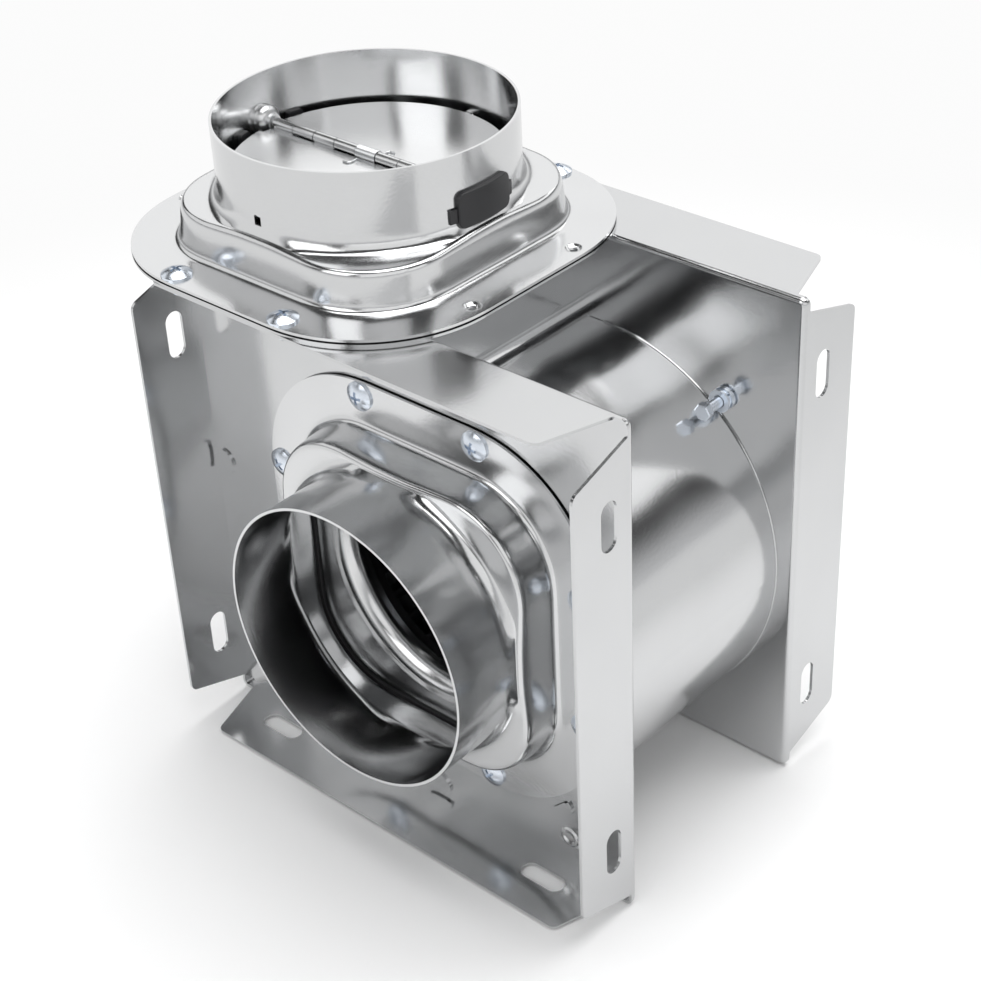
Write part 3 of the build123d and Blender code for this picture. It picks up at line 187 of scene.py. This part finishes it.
for name, node in frame["nodes"].items():
    node.data.materials.clear()
    node.data.materials.append(finishes[slot_of[name]])


# Modelling helpers
def in_metres(lengths):
    """A list of lengths in millimetres, in metres."""
    return [length * MM for length in lengths]


def begin(name, add, **options):
    """Adds a primitive on an empty selection, names it and opens it for editing, all selected."""
    if bpy.context.mode != "OBJECT":
        bpy.ops.object.mode_set(mode="OBJECT")
    bpy.ops.object.select_all(action="DESELECT")
    add(**options)
    piece = bpy.context.object
    piece.name = name
    bpy.ops.object.mode_set(mode="EDIT")
    bpy.ops.mesh.select_mode(type="VERT")
    bpy.ops.mesh.select_all(action="SELECT")
    return piece


def pick(piece, kind, test):
    """Selects the vertices, edges or faces that pass the test, and only those."""
    bpy.ops.mesh.select_mode(type=kind)
    bpy.ops.mesh.select_all(action="DESELECT")
    shape = bmesh.from_edit_mesh(piece.data)
    for part in {"VERT": shape.verts, "EDGE": shape.edges, "FACE": shape.faces}[kind]:
        if test(part):
            part.select_set(True)
    bmesh.update_edit_mesh(piece.data)


def choose_only(*pieces):
    """Leaves edit mode and selects these pieces, the first one active."""
    if bpy.context.mode != "OBJECT":
        bpy.ops.object.mode_set(mode="OBJECT")
    bpy.ops.object.select_all(action="DESELECT")
    for piece in pieces:
        piece.select_set(True)
    bpy.context.view_layer.objects.active = pieces[0]


def settle(piece):
    """Puts the piece's place, turn and size into its mesh."""
    choose_only(piece)
    bpy.ops.object.transform_apply(location=True, rotation=True, scale=True)


def modify(piece, kind, **settings):
    """Adds a modifier with its settings and applies it."""
    choose_only(piece)
    modifier = piece.modifiers.new(kind, kind)
    for key, value in settings.items():
        setattr(modifier, key, value)
    bpy.ops.object.modifier_apply(modifier=modifier.name)


def draw_out(radius, steps):
    """Extrudes the selected ring of that radius through steps, each the next radius and the rise to it."""
    for next_radius, rise in steps:
        bpy.ops.mesh.extrude_region_move(TRANSFORM_OT_translate={"value": (0, 0, rise * MM)})
        scale = next_radius / radius
        bpy.ops.transform.resize(value=(scale, scale, 1), center_override=(0, 0, 0))
        radius = next_radius


def agree_normals():
    """Turns all faces of the mesh in edit mode the same way out."""
    bpy.ops.mesh.select_all(action="SELECT")
    bpy.ops.mesh.normals_make_consistent(inside=False)


def copy_of(piece, name):
    """A copy with its own mesh."""
    twin = piece.copy()
    twin.data = piece.data.copy()
    twin.name = name
    bpy.context.collection.objects.link(twin)
    return twin


def finish_piece(piece, slot_name, replaced=()):
    """Puts the piece's place into its mesh, shades it, paints it and hands it to the frame."""
    settle(piece)
    bpy.ops.object.shade_smooth_by_angle(angle=SMOOTH_BELOW)
    piece.data.materials.clear()
    piece.data.materials.append(finishes[slot_name])
    piece.data.name = piece.name
    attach(piece, "casing")
    if replaced:
        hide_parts(*replaced)


# Collars: a deep-drawn sheet from the base through a rounded-square foot to the duct tube
SHEET_THICK = 0.9
BASE_SIDE = 138.0
BASE_CORNER = 45.5
CORNER_STEPS = 10
SIDE_CUTS = 9
LONGER_THAN_CORNER_STEP = 20
SHOULDER = 14.1
TUBE_STEPS = 80
WELD = 0.01
# Each ring of the foot: how far inside the last one it lies, and how much higher
FOOT_RINGS = (
    (1.0, 0.0), (11.6, 0.0), (2.2, 0.1), (1.2, 1.1), (0.4, 2.5), (0.6, 5.8), (0.3, 2.3), (0.8, 1.2), (1.5, 0.2),
)
# Each ring of the tube: its radius, and its height above the shoulder
TUBE_RINGS = ((52.4, 0.0), (50.3, 1.1), (49.0, 3.8), (49.0, 6.5), (49.0, 25.0), (49.0, 26.2), (49.0, 26.5))
# The tube's foot is pressed flat on the four sides: the reach, and from and to above the shoulder
FLAT_SIDES = ((49.3, -0.5, 0.5), (49.12, 0.6, 2.0))
# The heights between which the foot's and the tube's rims face each other
RIMS_FROM, RIMS_TO = 5, 30
# On the four sides the shoulder's flat rises to the tube, more towards the middle: half width, and lift
SIDE_LIFTS = ((22, 0.14), (19, 0.16), (16, 0.18), (13, 0.18), (10, 0.16), (7, 0.14))
LIFT_WITHIN = 55
LIFT_FROM, LIFT_TO = 13.0, 19.5


def flatten_sides(piece, reach, low, high):
    """Pushes what stands beyond the reach on the four sides back to it, between two heights."""
    for axis in (0, 1):
        for side in (-1, 1):
            pick(piece, "VERT", lambda v: low < v.co.z < high and side * v.co[axis] > reach)
            scale = (0, 1, 1) if axis == 0 else (1, 0, 1)
            middle = (side * reach, 0, 0) if axis == 0 else (0, side * reach, 0)
            bpy.ops.transform.resize(value=scale, center_override=middle)


def collar_foot():
    """The base with its rounded corners, and the wall and shoulder inset from it."""
    foot = begin(
        "collar_form",
        bpy.ops.mesh.primitive_plane_add,
        size=BASE_SIDE * MM,
        location=(0, 0, SHEET_THICK * MM),
    )
    bpy.ops.mesh.bevel(offset=BASE_CORNER * MM, offset_type="OFFSET", segments=CORNER_STEPS, affect="VERTICES")
    bpy.ops.mesh.delete(type="ONLY_FACE")
    pick(foot, "EDGE", lambda edge: edge.calc_length() > LONGER_THAN_CORNER_STEP * MM)
    bpy.ops.mesh.subdivide(number_cuts=SIDE_CUTS)
    pick(foot, "EDGE", lambda edge: True)
    bpy.ops.mesh.edge_face_add()
    pick(foot, "FACE", lambda face: True)
    for inwards, upwards in FOOT_RINGS:
        bpy.ops.mesh.inset(thickness=inwards * MM, use_even_offset=True)
        bpy.ops.transform.translate(value=(0, 0, upwards * MM))
    bpy.ops.mesh.delete(type="FACE")
    settle(foot)
    return foot


def collar_tube():
    """The duct tube, with its foot pressed flat on the four sides."""
    first = TUBE_RINGS[0][0]
    tube = begin(
        "collar_tube",
        bpy.ops.mesh.primitive_circle_add,
        vertices=TUBE_STEPS,
        radius=first * MM,
        location=(0, 0, SHOULDER * MM),
    )
    draw_out(first, [(radius, rise - last[1]) for last, (radius, rise) in zip(TUBE_RINGS, TUBE_RINGS[1:])])
    settle(tube)
    bpy.ops.object.mode_set(mode="EDIT")
    for reach, low, high in FLAT_SIDES:
        flatten_sides(tube, reach * MM, (SHOULDER + low) * MM, (SHOULDER + high) * MM)
    return tube


def drawn_collar():
    """A collar upright on its base, with no holes yet."""
    foot = collar_foot()
    choose_only(foot, collar_tube())
    bpy.ops.object.join()
    bpy.ops.object.mode_set(mode="EDIT")
    pick(foot, "EDGE", lambda edge: edge.is_boundary and RIMS_FROM * MM < edge.verts[0].co.z < RIMS_TO * MM)
    bpy.ops.mesh.bridge_edge_loops()
    for width, lift in SIDE_LIFTS:
        pick(
            foot,
            "VERT",
            lambda v: min(abs(v.co.x), abs(v.co.y)) < width * MM
            and v.co.xy.length < LIFT_WITHIN * MM
            and LIFT_FROM * MM < v.co.z < LIFT_TO * MM,
        )
        bpy.ops.transform.translate(value=(0, 0, lift * MM))
    bpy.ops.mesh.select_all(action="SELECT")
    bpy.ops.mesh.remove_doubles(threshold=WELD * MM)
    agree_normals()
    bpy.ops.object.mode_set(mode="OBJECT")
    base = max(foot.data.polygons, key=lambda face: face.center.xy.length)
    if base.normal.z < 0:
        foot.data.flip_normals()
    modify(foot, "SUBSURF", levels=2, render_levels=2)
    modify(foot, "SOLIDIFY", thickness=SHEET_THICK * MM, offset=-1.0, use_even_offset=True)
    return foot


CUTTER_STEPS = 32


def cut(piece, cylinders, blocks=()):
    """Takes cylinders, as (place, radius, length, turn), and blocks, as (place, sides), out of the piece."""
    # The cutter starts from a small cube far below the piece, where it cuts nothing
    cutter = begin("cutter", bpy.ops.mesh.primitive_cube_add, size=1 * MM, location=(0, 0, -90 * MM))
    settle(cutter)
    bpy.ops.object.mode_set(mode="EDIT")
    for place, radius, length, turn in cylinders:
        bpy.ops.mesh.primitive_cylinder_add(
            vertices=CUTTER_STEPS,
            radius=radius * MM,
            depth=length * MM,
            rotation=turn,
            location=in_metres(place),
        )
    for place, sides in blocks:
        bpy.ops.mesh.primitive_cube_add(size=1, location=in_metres(place), scale=in_metres(sides))
    bpy.ops.object.mode_set(mode="OBJECT")
    modify(piece, "BOOLEAN", operation="DIFFERENCE", object=cutter, solver="EXACT")
    bpy.data.objects.remove(cutter)


# Screw places on a collar's base; the outlet has screws front and back, and dimples left and right
NEAR, FAR = 23.9, 63.9
COLLAR_SCREWS = [(s * a, t * b) for a, b in ((FAR, NEAR), (NEAR, FAR)) for s in (-1, 1) for t in (-1, 1)]
SCREW_HOLE = 2.1
DIMPLE_HOLE = 2.85
BASE_MIDDLE = 0.5
THROUGH_BASE = 6.0
DIMPLE_STEPS = 24
DIMPLE_RIM = 3.2
DIMPLE_TOP = 0.93
DIMPLE_THICK = 0.25
DIMPLE_RINGS = ((2.8, -0.05), (2.2, -0.55), (1.9, -0.2), (1.4, -0.05))
# On the outlet's tube: holes for the rod and the covers' necks, and the flap stops over their windows
THROUGH_TUBE = 104.0
ROD_HEIGHT = 24.4
ROD_HOLE = 1.26
NECK_PLACES = (-11.6, 11.6)
NECK_DROP = 3.2
NECK_SLOT = (3.0, 5.0)
STOP_PLACE = 45.9
STOP_TOP = 22.24
STOP_DROP = 0.45
STOP_SIZE = (2.7, 5.0, 0.8)
STOP_ROUND = 0.2
WINDOW_WIDTH, WINDOW_HEIGHT = 2.8, 3.4
WINDOW_DROP = 1.7
INLET_PLACE = (22.2, -36.0, 88.9)
OUTLET_PLACE = (-35.2, 7.6, 184.4)


def base_holes(radius_at):
    """Upright cylinders through the screw places, with the radius that goes with each one's y."""
    return [((x, y, BASE_MIDDLE), radius_at(y), THROUGH_BASE, (0, 0, 0)) for x, y in COLLAR_SCREWS]


def dimple_cup(x, y):
    """The pressed dimple round an unused screw hole."""
    cup = begin(
        "dimple",
        bpy.ops.mesh.primitive_circle_add,
        vertices=DIMPLE_STEPS,
        radius=DIMPLE_RIM * MM,
        location=(0, 0, DIMPLE_TOP * MM),
    )
    draw_out(DIMPLE_RIM, DIMPLE_RINGS)
    agree_normals()
    bpy.ops.object.mode_set(mode="OBJECT")
    if cup.data.polygons[0].normal.z < 0:
        cup.data.flip_normals()
    cup.location = in_metres((x, y, DIMPLE_TOP))
    modify(cup, "SOLIDIFY", thickness=DIMPLE_THICK * MM, offset=-1.0)
    settle(cup)
    return cup


def flap_stop(side):
    """The tab that is bent in from the tube's wall, above its window, for a flap to lie on."""
    stop = begin(
        "flap_stop",
        bpy.ops.mesh.primitive_cube_add,
        size=1,
        location=in_metres((0, side * STOP_PLACE, STOP_TOP - STOP_DROP)),
        scale=in_metres(STOP_SIZE),
    )
    bpy.ops.mesh.bevel(offset=STOP_ROUND * MM, segments=2, affect="EDGES")
    settle(stop)
    return stop


inlet = drawn_collar()
outlet = copy_of(inlet, "outlet_collar_skin")
cut(inlet, base_holes(lambda y: SCREW_HOLE))
inlet.name = "inlet_collar_skin"
inlet.location = in_metres(INLET_PLACE)
inlet.rotation_euler = (QUARTER_TURN, 0, 0)

rod_hole = ((0, 0, ROD_HEIGHT), ROD_HOLE, THROUGH_TUBE, (0, QUARTER_TURN, 0))
neck_slots = [((0, y, ROD_HEIGHT - NECK_DROP), (THROUGH_TUBE, *NECK_SLOT)) for y in NECK_PLACES]
windows = ((0, 0, STOP_TOP - WINDOW_DROP), (WINDOW_WIDTH, THROUGH_TUBE, WINDOW_HEIGHT))
outlet_holes = base_holes(lambda y: SCREW_HOLE if abs(y) == FAR else DIMPLE_HOLE)
cut(outlet, [*outlet_holes, rod_hole], [*neck_slots, windows])
extras = [dimple_cup(x, y) for x, y in COLLAR_SCREWS if abs(x) == FAR]
extras += [flap_stop(side) for side in (-1, 1)]
choose_only(outlet, *extras)
bpy.ops.object.join()
outlet.location = in_metres(OUTLET_PLACE)
finish_piece(inlet, "collar_steel", ["inlet_collar"])
finish_piece(outlet, "collar_steel", ["outlet_collar"])

# The front plate's face, and its middle
PLATE_X, PLATE_Y, PLATE_Z = 12.7, -35.4, 91.5

# Fine bead of sealant along the seam where the scroll's wall meets the back plate
BEAD = 0.35
SEAM_STEPS = 180
SEAM_GAP = 0.1
SEAM_DEPTH = 84.0
SEAM_INSET = 0.2
SEAM_SLACK = 0.5
# The scroll's two arcs: centre x and z from the plate's middle, radius, and from and to in degrees
SEAM_ARCS = ((14.3, -11.5, 70.7, 0, 90), (8.6, -11.5, 76.4, -90, 0))

seams = []
for number, (x, z, radius, low, high) in enumerate(SEAM_ARCS):
    seam = begin(
        f"scroll_seam_{number + 1}",
        bpy.ops.mesh.primitive_circle_add,
        vertices=SEAM_STEPS,
        radius=(radius + SEAM_GAP) * MM,
        location=in_metres((x + PLATE_X, SEAM_DEPTH + PLATE_Y - SEAM_INSET, z + PLATE_Z)),
        rotation=(QUARTER_TURN, 0, 0),
    )
    pick(
        seam,
        "VERT",
        lambda v: not low - SEAM_SLACK <= degrees(atan2(v.co.y, v.co.x)) <= high + SEAM_SLACK,
    )
    bpy.ops.mesh.delete(type="VERT")
    choose_only(seam)
    bpy.ops.object.convert(target="CURVE")
    seam.data.bevel_depth = BEAD * MM
    seam.data.bevel_resolution = 2
    seam.data.use_fill_caps = True
    bpy.ops.object.convert(target="MESH")
    seams.append(seam)
choose_only(*seams)
bpy.ops.object.join()
seams[0].name = "scroll_seam"
finish_piece(seams[0], "sheet_steel")

# Shallow pressed dimple near the front plate's lower right corner
PIP_STEPS = 32
PIP_RIM = 3.9
PIP_RINGS = ((3.6, 0.12), (3.2, 0.3), (2.6, 0.02), (1.9, -0.3), (0.9, -0.08))
PIP_ACROSS, PIP_UP = 64.7, -78.5
PIP_PROUD = 0.01

pip = begin(
    "plate_pip", bpy.ops.mesh.primitive_circle_add, vertices=PIP_STEPS, radius=PIP_RIM * MM, location=(0, 0, 0)
)
draw_out(PIP_RIM, PIP_RINGS)
bpy.ops.mesh.edge_face_add()
agree_normals()
modify(pip, "SUBSURF", levels=1, render_levels=1)
pip.location = in_metres((PIP_ACROSS + PLATE_X, PLATE_Y - PIP_PROUD, PIP_UP + PLATE_Z))
pip.rotation_euler = (QUARTER_TURN, 0, 0)
finish_piece(pip, "sheet_steel")

# Camera, as solved from the photograph
CAMERA_PLACE = (0.40201, -0.41210, 0.47900)
CAMERA_RIGHT = (0.7497, 0.6603, -0.0442)
CAMERA_FORWARD = (-0.5692, 0.6094, -0.5520)
CAMERA_LENS = 75.52

right = Vector(CAMERA_RIGHT).normalized()
forward = Vector(CAMERA_FORWARD).normalized()
camera_turn = Matrix((right, right.cross(forward), -forward)).transposed()
camera = bpy.data.objects.new("camera", bpy.data.cameras.new("camera"))
bpy.context.collection.objects.link(camera)
camera.matrix_world = Matrix.Translation(CAMERA_PLACE) @ camera_turn.to_4x4()
camera.data.lens = CAMERA_LENS
camera.data.sensor_width = 36.0
bpy.context.scene.camera = camera

# Floor: matt near the object, and white farther off, to the eye and in the metal, where no lamp reaches
FLOOR_SIDE = 60.0
FLOOR_DROP = 0.0005
FLOOR_COLOUR = (0.93, 0.93, 0.93, 1)
STUDIO_WHITE = 0.97
MATT_TO, WHITE_FROM = 0.14, 0.5

bpy.ops.object.select_all(action="DESELECT")
bpy.ops.mesh.primitive_plane_add(size=FLOOR_SIDE, location=(0, 0, -FLOOR_DROP))
floor = bpy.context.object
floor.name = "floor"
floor_material = bpy.data.materials.new("pale_floor")
floor_material.use_nodes = True
paint = floor_material.node_tree
matt = paint.nodes["Principled BSDF"]
matt.inputs["Base Color"].default_value = FLOOR_COLOUR
matt.inputs["Roughness"].default_value = 0.9
matt.inputs["Specular IOR Level"].default_value = 0.1
white = fed_node(paint, "ShaderNodeEmission", Strength=STUDIO_WHITE)
distance_off = paint.nodes.new("ShaderNodeVectorMath")
distance_off.operation = "LENGTH"
feed(paint, distance_off.inputs[0], paint.nodes.new("ShaderNodeTexCoord").outputs["Object"])
far_off = smooth_step(paint, distance_off.outputs["Value"], MATT_TO, WHITE_FROM)
seen = any_ray(paint, "Is Camera Ray", "Is Glossy Ray", "Is Transmission Ray")
blend = paint.nodes.new("ShaderNodeMixShader")
blended = (math_node(paint, "MULTIPLY", far_off, seen), matt.outputs["BSDF"], white.outputs["Emission"])
for socket, source in zip(blend.inputs, blended):
    feed(paint, socket, source)
feed(paint, paint.nodes["Material Output"].inputs["Surface"], blend.outputs["Shader"])
floor.data.materials.append(floor_material)

# World: white to the eye, a white horizon under a dark ceiling in the metal, dim walls for the light
WALL_LIGHT = 0.14
HORIZON, CEILING = 0.75, 0.03
HORIZON_TO, CEILING_FROM = 0.02, 0.36

world = bpy.data.worlds.new("studio")
bpy.context.scene.world = world
world.use_nodes = True
sky = world.node_tree
heading = sky.nodes.new("ShaderNodeTexCoord").outputs["Generated"]
upwards = fed_node(sky, "ShaderNodeSeparateXYZ", Vector=heading).outputs["Z"]
mirrored = smooth_step(sky, upwards, HORIZON_TO, CEILING_FROM, HORIZON, CEILING)
shiny = any_ray(sky, "Is Glossy Ray", "Is Transmission Ray")
for_metal = fed_node(sky, "ShaderNodeMix", Factor=shiny, A=WALL_LIGHT, B=mirrored).outputs["Result"]
for_eye = fed_node(sky, "ShaderNodeMix", Factor=any_ray(sky, "Is Camera Ray"), A=for_metal, B=STUDIO_WHITE)
background = sky.nodes["Background"].inputs
background["Color"].default_value = (0.985, 0.99, 1.0, 1)
feed(sky, background["Strength"], for_eye.outputs["Result"])

# Area lamps that face the object: azimuth and elevation in degrees, distance, width, height, and how
# bright the lamp shows in metal
LAMPS = {
    "back_left_box": (125, 32, 1.5, 1.7, 0.7, 0.93),
    "back_right_box": (64, 34, 1.5, 1.5, 0.5, 1.05),
    "camera_box": (-38, 30, 1.6, 1.6, 1.0, 0.8),
    "front_box": (-95, 35, 1.5, 0.9, 0.95, 1.6),
    "left_box": (-157, 31, 1.7, 1.6, 0.85, 0.75),
    "right_box": (6, 22, 1.6, 0.8, 0.6, 0.8),
    "overhead_box": (80, 79, 1.8, 1.8, 1.8, 2.75),
}
LAMPS_AIM = Vector((0.0, 0.0, 0.12))
# Watts per square metre of a lamp that shows with brightness 1
LAMP_POWER = 4.0

for name, (azimuth, elevation, distance, width, height, brightness) in LAMPS.items():
    data = bpy.data.lights.new(name, "AREA")
    data.shape = "RECTANGLE"
    data.size = width
    data.size_y = height
    data.energy = brightness * LAMP_POWER * width * height
    lamp = bpy.data.objects.new(name, data)
    bpy.context.collection.objects.link(lamp)
    level = distance * cos(radians(elevation))
    rise = distance * sin(radians(elevation))
    away = Vector((level * cos(radians(azimuth)), level * sin(radians(azimuth)), rise))
    lamp.location = LAMPS_AIM + away
    lamp.rotation_euler = away.to_track_quat("Z", "Y").to_euler()

bpy.context.scene.view_settings.view_transform = "Standard"
